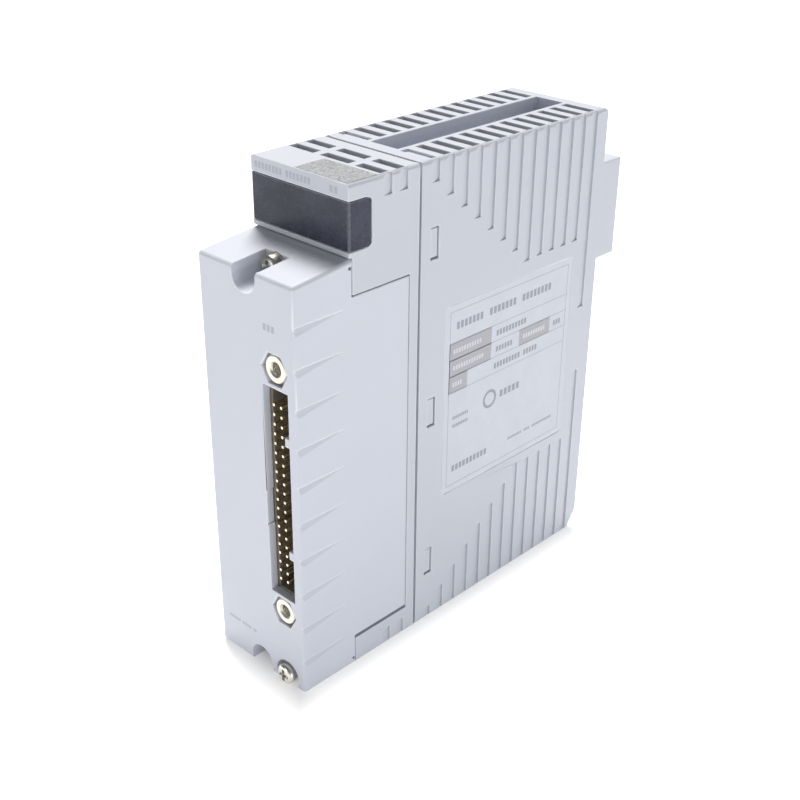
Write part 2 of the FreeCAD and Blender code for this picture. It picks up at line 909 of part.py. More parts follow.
def adapter_housing():
    body = adapter_outer().cut(adapter_room())
    adds = both_sides([adapter_wing()])
    blocks = [pocket_block(pocket_high_centre, 1), pocket_block(pocket_low_centre, -1)]
    adds += [part.common(adapter_outer()) for part in blocks]
    adds += [jack_boss(z) for z in jack_places()]
    body = body.fuse(adds)
    cuts = [pocket(pocket_high_centre, 1), pocket(pocket_low_centre, -1), header_opening()]
    cuts += [rod(0, z, 0, adapter_depth + over, screw_radius + screw_play) for z in screw_heights]
    cuts += [jack_pocket(z) for z in jack_places()]
    cuts.append(rod(ground_x, ground_z - ground_recess_drop, -over, adapter_face_wall,
                    ground_recess_radius))
    stripes = [side_stripe(stripe_top - k * stripe_pitch) for k in range(stripe_count)]
    cuts += both_sides(stripes)
    cuts += both_sides([side_dot(dot_margin), side_dot(adapter_back_top - dot_margin)])
    return body.cut(cuts).removeSplitter()


def adapter_back_cover():
    side = half - wing_thickness - fit
    rear = adapter_depth
    low = adapter_wall + fit
    high = adapter_face_top - adapter_wall - fit
    plate = block(-side, side, rear - cover_thickness, rear, low, high)
    pocket_side = pocket_radius + pocket_wall + fit
    up = pocket_low_centre + pocket_side
    down = pocket_high_centre - pocket_side
    cuts = [block(-pocket_side, pocket_side, rear - cover_thickness - over, rear + over, low - over, up),
            block(-pocket_side, pocket_side, rear - cover_thickness - over, rear + over, down,
                  high + over)]
    cuts.append(block(-plug_width / 2 - fit, plug_width / 2 + fit, rear - cover_thickness - over,
                      rear + over, header_z - plug_height / 2 - fit, header_z + plug_height / 2 + fit))
    return plate.cut(cuts)


def adapter_board():
    side = half - adapter_wall - board_margin
    low = pocket_low_centre + pocket_radius + pocket_wall + board_margin
    high = pocket_high_centre - pocket_radius - pocket_wall - board_margin
    rear = adapter_board_front + adapter_board_thickness
    return block(-side, side, adapter_board_front, rear, low, high)


def header_insulator():
    side = header_width / 2
    up = header_height / 2
    start = adapter_face_wall
    body = block(header_x - side, header_x + side, start, start + header_depth, header_z - up,
                 header_z + up)
    jack_reach = jack_flats / 2 + jack_gap + jack_boss_wall
    clear = [block(header_left - over, half, start - over, start + header_depth + over,
                   z - jack_reach - fit, z + jack_reach + fit) for z in jack_places()]
    hollow = block(header_x - cavity_width / 2, header_x + cavity_width / 2, start - over,
                   start + header_depth - header_floor, header_z - cavity_height / 2,
                   header_z + cavity_height / 2)
    key = block(header_x - cavity_width / 2 - key_groove, header_x, start - over,
                start + header_depth - header_floor,
                header_z + key_offset - key_height / 2, header_z + key_offset + key_height / 2)
    sockets = pin_grid(header_x, header_z, 2, pin_rows, pin_size, start, start + header_depth + over)
    return body.cut([hollow, key] + clear + sockets)


def header_pins():
    """Forty square pins with chamfered tips."""
    pins = []
    for bar in pin_grid(header_x, header_z, 2, pin_rows, pin_size, pin_recess, adapter_board_front):
        front = back(pin_recess) + fit
        tip = [edge for edge in bar.Edges if edge.BoundBox.YMax < front]
        pins.append(bar.makeChamfer(pin_chamfer, tip))
    return group(pins)


def jack_nuts():
    nuts = []
    for z in jack_places():
        seat = jack_recess + jack_length
        nut = hexagon(header_x, z, jack_recess, seat, jack_flats)
        crown = Part.makeCone(jack_flats / 2 - small_round / 2, jack_flats / 2 + jack_length,
                              jack_length + small_round / 2, Vec(header_x, back(jack_recess), z),
                              Vec(0, 1, 0))
        nut = nut.common(crown)
        stud = rod(header_x, z, seat, seat + wall + over, jack_stud)
        sink = Part.makeCone(jack_countersink, jack_hole, jack_countersink - jack_hole,
                             Vec(header_x, back(jack_recess), z), Vec(0, 1, 0))
        bore = rod(header_x, z, jack_recess, jack_recess + jack_hole_length, jack_hole)
        nuts.append(nut.fuse(stud).cut([sink, bore]))
    return group(nuts)


def adapter_plug():
    start = adapter_board_front + adapter_board_thickness
    body = block(-plug_width / 2, plug_width / 2, start, seam + plug_reach,
                 header_z - plug_height / 2, header_z + plug_height / 2)
    sockets = pin_grid(0, header_z, 2, pin_rows, contact_size, start - over,
                       seam + plug_reach + over)
    return body.cut(sockets)


def plug_contacts():
    start = adapter_board_front + adapter_board_thickness
    end = seam + plug_reach + contact_reach
    return group(pin_grid(0, header_z, 2, pin_rows, contact_size, start, end))


def ground_plate():
    low = adapter_wall + fit
    start = adapter_face_wall
    plate = block(ground_x - plate_width / 2, ground_x + plate_width / 2, start,
                  start + plate_thickness, low, low + plate_height)
    boss = rod(ground_x, ground_z + fit, start, start + plate_thickness + plate_boss_length,
               plate_boss_radius)
    floor = block(-half, half, 0, seam, 0, low)
    bore = rod(ground_x, ground_z, 0, seam, ground_radius + screw_play)
    return plate.fuse(boss).cut([floor, bore])


# ---- screws ----------------------------------------------------------------------------------------
def fixing_screw(z):
    under = pocket_depth - washer_thickness
    front = under - screw_head_height
    head = rod(0, z, front, under, screw_head_radius)
    rim = [edge for edge in head.Edges if edge.BoundBox.YMax < back(front) + fit]
    head = head.makeFillet(small_round, rim)
    shank = rod(0, z, under, under + screw_length, screw_radius)
    return head.fuse(shank).removeSplitter().cut(cross_drive(0, z, front))


def fixing_washer(z):
    under = pocket_depth - washer_thickness
    disc = rod(0, z, under, pocket_depth, washer_radius)
    return disc.cut(rod(0, z, under - over, pocket_depth + over, screw_radius + screw_play))


def ground_screw():
    under = adapter_face_wall - flat_washer_thickness - lock_washer_thickness
    front = under - ground_head_height
    head = rod(ground_x, ground_z, front, under, ground_head_radius)
    rim = [edge for edge in head.Edges if edge.BoundBox.YMax < back(front) + fit]
    head = head.makeFillet(small_round, rim)
    shank = rod(ground_x, ground_z, under, under + ground_length, ground_radius)
    drive = cross_drive(ground_x, ground_z, front)
    return head.fuse(shank).removeSplitter().cut(drive)


def ground_washers():
    bore = rod(ground_x, ground_z, -over, seam, ground_radius + screw_play)
    flat_front = adapter_face_wall - flat_washer_thickness
    flat = rod(ground_x, ground_z, flat_front, adapter_face_wall, flat_washer_radius)
    lock_front = flat_front - lock_washer_thickness
    lock = rod(ground_x, ground_z, lock_front, flat_front, lock_washer_radius)
    slit = block(ground_x + ground_radius, ground_x + lock_washer_radius + over, lock_front - over,
                 flat_front + over, ground_z, ground_z + small_round)
    return group([flat.cut(bore), lock.cut([bore, slit])])


# ---- nodes -----------------------------------------------------------------------------------------
nodes = {
    "rear_housing": rear_housing(),
    "front_housing": front_housing(),
    "display_window": window_outline(window_thickness - fit),
    "indicator_carrier": indicator_carrier(),
    "status_leds": status_leds(),
    "display_board": display_board(),
    "top_label": top_label_film(film),
    "rating_label": label_recess(film),
    "main_board": board(main_board_x),
    "output_board": board(output_board_x),
    "board_spacers": board_spacers(),
    "board_screws": board_screws(),
    "transformers": transformers(),
    "capacitors": capacitors(),
    "processor_chips": processor_chips(),
    "isolator_chips": isolator_chips(),
    "board_link": board_link(),
    "front_receptacle": front_receptacle(),
    "receptacle_contacts": receptacle_contacts(),
    "screw_inserts": screw_inserts(),
    "backplane_connector": backplane_connector(),
    "backplane_contacts": backplane_contacts(),
    "adapter_housing": adapter_housing(),
    "adapter_back_cover": adapter_back_cover(),
    "adapter_board": adapter_board(),
    "header_insulator": header_insulator(),
    "header_pins": header_pins(),
    "jack_nuts": jack_nuts(),
    "adapter_plug": adapter_plug(),
    "plug_contacts": plug_contacts(),
    "ground_plate": ground_plate(),
    "upper_screw": fixing_screw(pocket_high_centre),
    "upper_washer": fixing_washer(pocket_high_centre),
    "lower_screw": fixing_screw(screw_low_z),
    "lower_washer": fixing_washer(screw_low_z),
    "ground_screw": ground_screw(),
    "ground_washers": ground_washers(),
}

os.makedirs("parts", exist_ok=True)
for name, shape in nodes.items():
    shape.exportStep("parts/" + name + ".step")
    box = shape.BoundBox
    print(name, "solids", len(shape.Solids), "valid", shape.isValid(), "volume", round(shape.Volume, 1),
          [round(v, 2) for v in (box.XMin, box.XMax, box.YMin, box.YMax, box.ZMin, box.ZMax)])
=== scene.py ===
"""Looks of the plug-in output module: moulded cases, smoked window, pin header, labels and screws.

Metres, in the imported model's frame: X across the body, -Y towards the cable side and Z up.
"""

import json
import math

import bmesh
import bpy
from mathutils import Matrix, Vector


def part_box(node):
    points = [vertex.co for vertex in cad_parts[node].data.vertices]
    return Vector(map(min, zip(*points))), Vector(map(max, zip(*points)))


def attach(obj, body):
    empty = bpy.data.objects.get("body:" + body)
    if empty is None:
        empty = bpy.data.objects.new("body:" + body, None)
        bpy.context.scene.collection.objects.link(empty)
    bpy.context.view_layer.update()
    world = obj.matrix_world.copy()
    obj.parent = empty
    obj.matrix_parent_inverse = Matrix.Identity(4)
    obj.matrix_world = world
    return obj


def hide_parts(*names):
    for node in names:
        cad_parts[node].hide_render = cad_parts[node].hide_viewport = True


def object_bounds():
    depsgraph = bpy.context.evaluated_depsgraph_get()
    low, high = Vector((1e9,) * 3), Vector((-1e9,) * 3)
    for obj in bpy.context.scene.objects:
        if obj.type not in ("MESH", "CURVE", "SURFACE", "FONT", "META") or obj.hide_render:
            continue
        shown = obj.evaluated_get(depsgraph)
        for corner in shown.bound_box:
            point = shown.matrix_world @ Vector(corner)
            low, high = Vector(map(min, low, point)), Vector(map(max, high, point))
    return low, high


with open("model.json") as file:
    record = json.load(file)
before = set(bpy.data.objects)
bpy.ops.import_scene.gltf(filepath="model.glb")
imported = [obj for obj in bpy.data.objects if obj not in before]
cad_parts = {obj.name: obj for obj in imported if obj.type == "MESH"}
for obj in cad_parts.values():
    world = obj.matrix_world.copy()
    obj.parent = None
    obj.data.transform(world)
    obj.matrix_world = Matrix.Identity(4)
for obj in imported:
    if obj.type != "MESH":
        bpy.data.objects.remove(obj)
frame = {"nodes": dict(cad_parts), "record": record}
nodes = frame["nodes"]
cad_bounds = [list(map(float, corner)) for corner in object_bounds()]
mm = 0.001

# ---- camera and light --------------------------------------------------------------------
camera_place = Vector((204.5, -221.7, 212.5)) * mm
camera_turn = math.radians(43.904)     # round Z, from looking along +Y
camera_tilt = math.radians(27.397)     # looking down
camera_roll = math.radians(0.574)
camera_lens = 56.23
camera_sensor = 36.0
light_target = Vector((0.0, 0.0, 60.0)) * mm
sky_strength = 0.18
floor_size = 6.0
floor_gap = 0.01 * mm
glow_start = -9 * mm                   # the floor's painted glow ramp, from the footprint's edge
glow_full = 5 * mm

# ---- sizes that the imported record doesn't hold -------------------------------------------
case_edge = 0.28 * mm                  # softened moulded edges
window_edge = 0.45 * mm
small_edge = 0.12 * mm
bevel_angle = math.radians(40)         # flatter edges stay as they are
thread_pitch = 0.5 * mm
thread_rise = 0.22 * mm
jack_bore = 1.65 * mm
jack_thread_length = 4.3 * mm
jack_thread_start = 0.5 * mm
shank_radius = 1.5 * mm
head_height = 2.4 * mm
head_crown = 1.0 * mm
recess_reach = 1.75 * mm
recess_width = 0.95 * mm
recess_depth = 1.35 * mm
recess_lead = 0.3 * mm                 # the cutter's part in front of the head
rim_chamfer = 0.1 * mm
lock_chamfer = 0.08 * mm
lock_rise = 0.35 * mm
lock_gap = math.radians(16)
turning_pitch = 0.16 * mm
pin_pitch = 2.54 * mm
pin_rows = 20
pin_columns = 2
pin_size = 0.64 * mm
pin_tip = 0.45 * mm
pin_taper = 0.6                        # share of its width that a pin loses at its tip
flat_washer = 0.6 * mm
lock_radius = 2.6 * mm
ink_proud = 0.012 * mm
film_sunk = 0.06 * mm
ink_chamfer = 0.002 * mm
merge_reach = 0.002 * mm               # corners of loose triangles this close are one
seal_inside = 1.9 * mm
seal_outside = 2.7 * mm
block_step = 0.8                       # printed blocks: their spacing as a share of the row's height
block_fill = 0.68                      # and the inked share of that spacing


# ---- node trees --------------------------------------------------------------------------
class Value:
    """A value on a node's socket. Arithmetic on numbers adds Math nodes."""

    def __init__(self, graph, socket):
        self.graph = graph
        self.socket = socket

    def math(self, operation, *terms):
        return self.graph.node("ShaderNodeMath", {"operation": operation}, dict(enumerate(terms)))

    def __add__(self, other):
        return self.math("ADD", self, other)

    def __radd__(self, other):
        return self.math("ADD", other, self)

    def __sub__(self, other):
        return self.math("SUBTRACT", self, other)

    def __rsub__(self, other):
        return self.math("SUBTRACT", other, self)

    def __mul__(self, other):
        return self.math("MULTIPLY", self, other)

    def __rmul__(self, other):
        return self.math("MULTIPLY", other, self)

    def __truediv__(self, other):
        return self.math("DIVIDE", self, other)

    def __pow__(self, other):
        return self.math("POWER", self, other)

    def __abs__(self):
        return self.math("ABSOLUTE", self)

    def sine(self):
        return self.math("SINE", self)

    def over(self, limit):
        return self.math("GREATER_THAN", self, limit)


class Graph:
    """A node tree being built."""

    def __init__(self, tree):
        self.tree = tree
        tree.nodes.clear()

    def node(self, kind, settings=None, sockets=None, out=0):
        """Adds a node with its settings, then its sockets, and hands back one of its outputs."""
        made = self.tree.nodes.new(kind)
        for key, value in (settings or {}).items():
            setattr(made, key, value)
        for key, value in (sockets or {}).items():
            if isinstance(value, Value):
                self.tree.links.new(value.socket, made.inputs[key])
            else:
                made.inputs[key].default_value = value
        return Value(self, made.outputs[out]) if made.outputs else None


class Finish(Graph):
    """A material being built on the object's own coordinates."""

    def __init__(self, name):
        self.material = bpy.data.materials.new(name)
        self.material.use_nodes = True
        super().__init__(self.material.node_tree)
        self.place = self.node("ShaderNodeTexCoord", out=3)

    def noise(self, scale, detail=2.0, roughness=0.5, place=None):
        """Noise from 0 to 1, with scale in cells per metre."""
        sockets = {"Vector": place or self.place, "Scale": scale, "Detail": detail,
                   "Roughness": roughness}
        return self.node("ShaderNodeTexNoise", None, sockets)

    def stretched(self, scale):
        """The object's coordinates with each axis scaled, for drawn or brushed grain."""
        return self.node("ShaderNodeMapping", None, {"Vector": self.place, "Scale": scale})

    def axes(self):
        """X, Y and Z of the object's coordinates."""
        split = self.node("ShaderNodeSeparateXYZ", None, {"Vector": self.place})
        outputs = split.socket.node.outputs
        return [Value(self, output) for output in outputs]

    def mix(self, share, first, second):
        """The first colour at share 0 and the second at 1."""
        return self.node("ShaderNodeMix", {"data_type": "RGBA"}, {0: share, 6: first, 7: second}, 2)

    def ramp(self, share, low, high):
        """Share spread from 0 at low to 1 at high."""
        sockets = {0: share, 1: low, 2: high}
        return self.node("ShaderNodeMapRange", None, sockets)

    def edges(self, radius):
        """1 on sharp edges and 0 on flats, from how far a rounded normal leans off the true one."""
        soft = self.node("ShaderNodeBevel", {"samples": 4}, {"Radius": radius})
        true = self.node("ShaderNodeNewGeometry", out=3)
        turn = self.node("ShaderNodeVectorMath", {"operation": "DOT_PRODUCT"}, {0: soft, 1: true}, 1)
        return self.ramp(1 - turn, 0.004, 0.07)

    def shut(self, reach):
        """1 on open faces, falling towards 0 in narrow recesses of the same piece."""
        settings = {"samples": 6, "only_local": True}
        return self.node("ShaderNodeAmbientOcclusion", settings, {"Distance": reach}, 1)

    def bump(self, height, distance, strength):
        """Normal bent by a height from 0 to 1 that stands for the distance."""
        sockets = {"Height": height, "Distance": distance, "Strength": strength}
        return self.node("ShaderNodeBump", None, sockets)

    def surface(self, **sockets):
        """Principled surface; a name's underscores stand for spaces."""
        values = {key.replace("_", " "): value for key, value in sockets.items()}
        shader = self.node("ShaderNodeBsdfPrincipled", None, values)
        self.node("ShaderNodeOutputMaterial", None, {"Surface": shader})
        return self.material


class Growth(Graph):
    """A geometry tree being built, with named inputs for its sizes."""

    def __init__(self, name, **inputs):
        tree = bpy.data.node_groups.new(name, "GeometryNodeTree")
        super().__init__(tree)
        self.keys = {}
        for label, kind in inputs.items():
            item = tree.interface.new_socket(label, in_out="INPUT", socket_type="NodeSocket" + kind)
            self.keys[label] = item.identifier
        tree.interface.new_socket("Geometry", in_out="OUTPUT", socket_type="NodeSocketGeometry")
        self.entry = tree.nodes.new("NodeGroupInput")

    def given(self, label):
        """One of the tree's named inputs."""
        return Value(self, self.entry.outputs[label])

    def vector(self, x, y, z):
        return self.node("ShaderNodeCombineXYZ", None, {0: x, 1: y, 2: z})

    def placed(self, geometry, place):
        """Lays geometry made along +Z so that it runs towards -Y from its place."""
        turn = (math.radians(90), 0.0, 0.0)
        sockets = {"Geometry": geometry, "Translation": place, "Rotation": turn}
        return self.node("GeometryNodeTransform", None, sockets)

    def end(self, geometry, material):
        """Closes the tree with real, painted geometry."""
        solid = self.node("GeometryNodeRealizeInstances", None, {"Geometry": geometry})
        painted = self.node("GeometryNodeSetMaterial", None, {"Geometry": solid, "Material": material})
        self.node("NodeGroupOutput", None, {"Geometry": painted})

    def grow(self, **values):
        """Plain mesh that the tree makes with these values."""
        host = bpy.data.objects.new("host", bpy.data.meshes.new("host"))
        bpy.context.scene.collection.objects.link(host)
        modifier = host.modifiers.new("growth", "NODES")
        modifier.node_group = self.tree
        for label, value in values.items():
            modifier[self.keys[label]] = value
        return settled(host)


# ---- finishes ----------------------------------------------------------------------------
def moulded_plastic(name, colour, edge_highlight, grain=3200.0):
    """Pale spark-textured moulding: tint drift, fine grain, a painted highlight on its edges and
    painted shade in its recesses.
    """
    finish = Finish(name)
    drift = finish.ramp(finish.noise(14.0, 3.0), 0.3, 0.7)
    speck = finish.noise(grain, 2.0)
    edge = finish.edges(0.35 * mm)
    patchiness = finish.ramp(finish.noise(90.0, 4.0), 0.35, 0.75)
    # Painted shade: the colour darkens in narrow recesses of the same piece.
    depth = finish.ramp(finish.shut(7 * mm), 0.45, 0.05)
    darker = [0.94 * part for part in colour[:3]] + [1.0]
    recess_shade_colour = [0.42 * part for part in colour[:3]] + [1.0]
    tint = finish.mix(drift * 0.6 + speck * 0.2, darker, colour)
    # Painted highlight: the edges are paled towards the highlight colour, in patches.
    tint = finish.mix(edge * (0.45 + patchiness * 0.4), tint, edge_highlight)
    tint = finish.mix(depth * (0.55 + patchiness * 0.1), tint, recess_shade_colour)
    dull = 0.5 + speck * 0.08 - patchiness * 0.06 - edge * 0.1
    grained = finish.bump(speck + finish.noise(grain * 0.4, 1.0) * 0.6, 0.012 * mm, 0.55)
    return finish.surface(Base_Color=tint, Roughness=dull, Normal=grained, IOR=1.5,
                          Specular_IOR_Level=0.42)


def smoked_plastic():
    """Dark clear cover with wiping marks, fine scratches and a painted highlight on its edges."""
    finish = Finish("smoked_plastic")
    smear = finish.ramp(finish.noise(120.0, 4.0, 0.6), 0.35, 0.7)
    scratch = finish.ramp(finish.noise(900.0, 2.0, 0.5, finish.stretched((0.25, 1.0, 1.6))), 0.62, 0.72)
    edge = finish.edges(0.3 * mm)
    dust = finish.ramp(finish.noise(1500.0, 3.0, 0.7), 0.5, 0.75)
    tint = finish.mix(smear * 0.8, (0.023, 0.028, 0.048, 1.0), (0.062, 0.068, 0.11, 1.0))
    tint = finish.mix(dust * 0.3, tint, (0.13, 0.14, 0.18, 1.0))
    # Painted highlight: the rounded edges are paled almost to light grey.
    tint = finish.mix(edge * 0.75, tint, (0.62, 0.63, 0.68, 1.0))
    dull = 0.2 + smear * 0.14 + scratch * 0.12
    marked = finish.bump(scratch + smear * 0.4, 0.004 * mm, 0.4)
    return finish.surface(Base_Color=tint, Roughness=dull, Normal=marked, Alpha=0.97 - smear * 0.03,
                          IOR=1.46, Specular_IOR_Level=0.24, Coat_Weight=0.04,
                          Coat_Roughness=0.1)


def connector_plastic(name, colour, pale):
    """Glass-filled moulding with short pale fibres at the surface."""
    finish = Finish(name)
    fibre = finish.ramp(finish.noise(5200.0, 1.0, 0.4, finish.stretched((1.0, 1.0, 0.3))), 0.6, 0.75)
    cloud = finish.noise(240.0, 3.0)
    edge = finish.edges(0.2 * mm)
    tint = finish.mix(fibre * 0.35 + edge * 0.4, colour, pale)
    dull = 0.42 + cloud * 0.12 - edge * 0.08
    grained = finish.bump(fibre + cloud, 0.006 * mm, 0.5)
    return finish.surface(Base_Color=tint, Roughness=dull, Normal=grained, IOR=1.54)


def plated_metal(name, colour, tarnish, dull, lathe=None):
    """Plated metal with faint tarnish.

    lathe adds turning marks about axes along Y. It gives their X, their middle Z, and how far above
    and below that Z a pair of axes lies, which is 0 for a single one.
    """
    finish = Finish(name)
    cloud = finish.ramp(finish.noise(420.0, 4.0, 0.6), 0.4, 0.75)
    pits = finish.noise(4200.0, 2.0)
    edge = finish.edges(0.12 * mm)
    tint = finish.mix(cloud * 0.45, colour, tarnish)
    tint = finish.mix(edge * 0.5, tint, [min(1.0, 1.15 * part) for part in colour])
    height = pits * 0.35
    if lathe:
        axes = finish.axes()
        across = axes[0] - lathe[0]
        up = abs(axes[2] - lathe[1]) - lathe[2]
        away = (across * across + up * up) ** 0.5
        height = height + (away * (2 * math.pi / turning_pitch)).sine() * 0.5
    rough = dull + cloud * 0.12 + pits * 0.06 - edge * 0.06
    return finish.surface(Base_Color=tint, Metallic=1.0, Roughness=rough,
                          Normal=finish.bump(height, 0.006 * mm, 0.6))


def circuit_board():
    """Green solder mask over copper tracks, with bare laminate where the edges are rubbed."""
    finish = Finish("circuit_board")
    tracks = finish.node("ShaderNodeTexBrick", {"offset": 0.35},
                         {"Vector": finish.place, "Scale": 240.0,
                          "Mortar Size": 0.06, "Color1": (0, 0, 0, 1), "Color2": (0, 0, 0, 1),
                          "Mortar": (1, 1, 1, 1)}, 1)
    cloud = finish.noise(160.0, 3.0)
    edge = finish.edges(0.2 * mm)
    tint = finish.mix(tracks * 0.6, (0.012, 0.095, 0.04, 1.0), (0.03, 0.19, 0.08, 1.0))
    tint = finish.mix(edge * 0.7, tint, (0.42, 0.36, 0.2, 1.0))
    return finish.surface(Base_Color=tint, Roughness=0.3 + cloud * 0.12, IOR=1.55,
                          Normal=finish.bump(tracks + cloud * 0.2, 0.02 * mm, 0.5))


def printed_film(name, colour, guard=False):
    """Label film; guard adds the fine curved lines of a tamper label."""
    finish = Finish(name)
    fibre = finish.noise(2600.0, 3.0, 0.6)
    cloud = finish.ramp(finish.noise(210.0, 4.0, 0.65), 0.35, 0.7)
    edge = finish.edges(0.1 * mm)
    share = fibre * 0.3 + cloud * 0.4
    shade = 0.6 if guard else 0.9
    if guard:
        lines = (finish.noise(330.0, 1.0) * 46).sine()
        share = share * 0.5 + finish.ramp(lines, 0.1, 0.8) * 0.9
    tint = finish.mix(share, colour, [shade * part for part in colour[:3]] + [1.0])
    tint = finish.mix(edge * 0.4, tint, (0.8, 0.8, 0.8, 1.0))
    return finish.surface(Base_Color=tint, Roughness=0.46 + cloud * 0.12,
                          Normal=finish.bump(fibre, 0.008 * mm, 0.5), IOR=1.46)


def ink(name, colour):
    """Screen-printed ink, thin in places."""
    finish = Finish(name)
    thin = finish.ramp(finish.noise(2200.0, 3.0, 0.7), 0.4, 0.8)
    tint = finish.mix(thin * 0.4, colour, [min(1.0, 1.35 * part) for part in colour])
    return finish.surface(Base_Color=tint, Roughness=0.55 + thin * 0.1,
                          Normal=finish.bump(thin, 0.003 * mm, 0.4))


def lamp_lens():
    """Cloudy pale lens of an unlit indicator."""
    finish = Finish("lamp_lens")
    cloud = finish.noise(700.0, 2.0)
    tint = finish.mix(cloud, (0.34, 0.42, 0.30, 1.0), (0.46, 0.52, 0.40, 1.0))
    return finish.surface(Base_Color=tint, Roughness=0.3 + cloud * 0.1, IOR=1.5,
                          Normal=finish.bump(cloud, 0.01 * mm, 0.4))


def floor_paint(low, high):
    """White floor that glows outside the footprint between two corners, painted light that fills its
    cast shadow and lights the object from below, and is dark under the footprint.
    """
    finish = Finish("floor_paint")
    cloud = finish.noise(3.0, 2.0)
    tint = finish.mix(cloud, (0.58, 0.58, 0.58, 1.0), (0.61, 0.61, 0.61, 1.0))
    past = [abs(axis - (near + far) / 2) - (far - near) / 2
            for axis, near, far in zip(finish.axes()[:2], low, high)]
    lit = finish.ramp(past[0].math("MAXIMUM", *past), glow_start, glow_full)
    glow = finish.mix(lit, (0.0, 0.0, 0.0, 1.0), (1.0, 1.0, 1.0, 1.0))
    return finish.surface(Base_Color=tint, Roughness=0.8 + cloud * 0.05, Specular_IOR_Level=0.1,
                          Emission_Color=glow, Emission_Strength=0.88)


# ---- mesh help ---------------------------------------------------------------------------
def keep(name, mesh, finishes, body, stands_for=()):
    """Puts a finished mesh into the scene as one piece."""
    piece = bpy.data.objects.new(name, mesh)
    bpy.context.scene.collection.objects.link(piece)
    if finishes:
        mesh.materials.clear()
        for finish in finishes:
            mesh.materials.append(finish)
    if stands_for:
        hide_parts(*stands_for)
    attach(piece, body)
    return piece


def settled(host):
    """The plain mesh that an object's modifiers give; the object is removed."""
    depsgraph = bpy.context.evaluated_depsgraph_get()
    mesh = bpy.data.meshes.new_from_object(host.evaluated_get(depsgraph))
    bpy.data.objects.remove(host)
    return mesh


def merged_copy(node):
    """A bmesh of a CAD node with its loose triangles joined."""
    work = bmesh.new()
    work.from_mesh(nodes[node].data)
    bmesh.ops.remove_doubles(work, verts=work.verts, dist=merge_reach)
    return work


def smoothed(mesh, angle=35.0):
    """Smooth shading that breaks at edges sharper than the angle."""
    work = bmesh.new()
    work.from_mesh(mesh)
    for face in work.faces:
        face.smooth = True
    for edge in work.edges:
        edge.smooth = len(edge.link_faces) == 2 and edge.calc_face_angle(0.0) < math.radians(angle)
    work.to_mesh(mesh)
    work.free()
    return mesh


def softened(node, radius, least=0.9 * mm, segments=2):
    """Copy of a node with its outer edges rounded, apart from those shorter than least."""
    work = merged_copy(node)
    weight = work.edges.layers.float.new("bevel_weight_edge")
    for edge in work.edges:
        if len(edge.link_faces) != 2 or edge.calc_length() < least:
            continue
        if edge.calc_face_angle_signed(0.0) > bevel_angle:
            edge[weight] = 1.0
    mesh = bpy.data.meshes.new(node)
    work.to_mesh(mesh)
    work.free()
    host = bpy.data.objects.new(node + "_host", mesh)
    bpy.context.scene.collection.objects.link(host)
    bevel = host.modifiers.new("edges", "BEVEL")
    bevel.limit_method = "WEIGHT"
    bevel.width = radius
    bevel.segments = segments
    bevel.use_clamp_overlap = False
    bevel.harden_normals = True
    return settled(host)


def joined(meshes):
    """One mesh of several."""
    work = bmesh.new()
    for mesh in meshes:
        work.from_mesh(mesh)
    whole = bpy.data.meshes.new("joined")
    work.to_mesh(whole)
    work.free()
    return whole


def finished(work, angle=35.0):
    """Mesh of a closed bmesh with its faces outward and its shading smooth."""
    bmesh.ops.recalc_face_normals(work, faces=work.faces)
    mesh = bpy.data.meshes.new("made")
    work.to_mesh(mesh)
    work.free()
    return smoothed(mesh, angle)


def middle(node):
    """Middle of a node's box."""
    low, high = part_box(node)
    return (low + high) / 2


# ---- turned parts ------------------------------------------------------------------------
def turned(work, profile, x, z, closed=False, facets=64):
    """Adds a solid turned about an axis along Y, from a profile of radii and Y.

    closed joins the profile's last point to its first, for a ring.
    """
    rings = []
    for radius, y in profile:
        if radius == 0:
            rings.append([work.verts.new((x, y, z))])
            continue
        turns = [2 * math.pi * k / facets for k in range(facets)]
        rings.append([work.verts.new((x + radius * math.cos(t), y, z + radius * math.sin(t)))
                      for t in turns])
    if closed:
        rings.append(rings[0])
    for first, second in zip(rings, rings[1:]):
        for k in range(facets):
            corners = (first[k % len(first)], first[(k + 1) % len(first)],
                       second[(k + 1) % len(second)], second[k % len(second)])
            work.faces.new(dict.fromkeys(corners))


def ring_profile(inside, outside, front, rear, chamfer):
    """Radii and Y round a ring's section with chamfered corners."""
    return [(inside + chamfer, front), (outside - chamfer, front), (outside, front + chamfer),
            (outside, rear - chamfer), (outside - chamfer, rear), (inside + chamfer, rear),
            (inside, rear - chamfer), (inside, front + chamfer)]


def washer(node, bore):
    """Flat washer with chamfered rims."""
    low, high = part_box(node)
    centre = middle(node)
    work = bmesh.new()
    profile = ring_profile(bore, (high.x - low.x) / 2, low.y, high.y, rim_chamfer)
    turned(work, profile, centre.x, centre.z, True)
    return finished(work)


def spring_washer(work, x, z, front, rear, inside, outside):
    """Split ring whose ends are sprung apart."""
    profile = ring_profile(inside, outside, front, rear - lock_rise, lock_chamfer)
    steps = 60
    sections = []
    for k in range(steps + 1):
        turn = lock_gap / 2 + (2 * math.pi - lock_gap) * k / steps
        rise = lock_rise * k / steps
        sections.append([work.verts.new((x + radius * math.cos(turn), y + rise,
                                         z + radius * math.sin(turn))) for radius, y in profile])
    for first, second in zip(sections, sections[1:]):
        for k in range(len(profile)):
            after = (k + 1) % len(profile)
            work.faces.new((first[k], first[after], second[after], second[k]))
    work.faces.new(sections[0])
    work.faces.new(sections[-1])


def washer_stack(node):
    """Flat washer with a spring washer in front of it."""
    low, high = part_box(node)
    centre = middle(node)
    bore = shank_radius + small_edge
    flat_front = high.y - flat_washer
    work = bmesh.new()
    flat = ring_profile(bore, (high.x - low.x) / 2, flat_front, high.y, rim_chamfer)
    turned(work, flat, centre.x, centre.z, True)
    spring_washer(work, centre.x, centre.z, low.y, flat_front, bore, lock_radius)
    return finished(work)


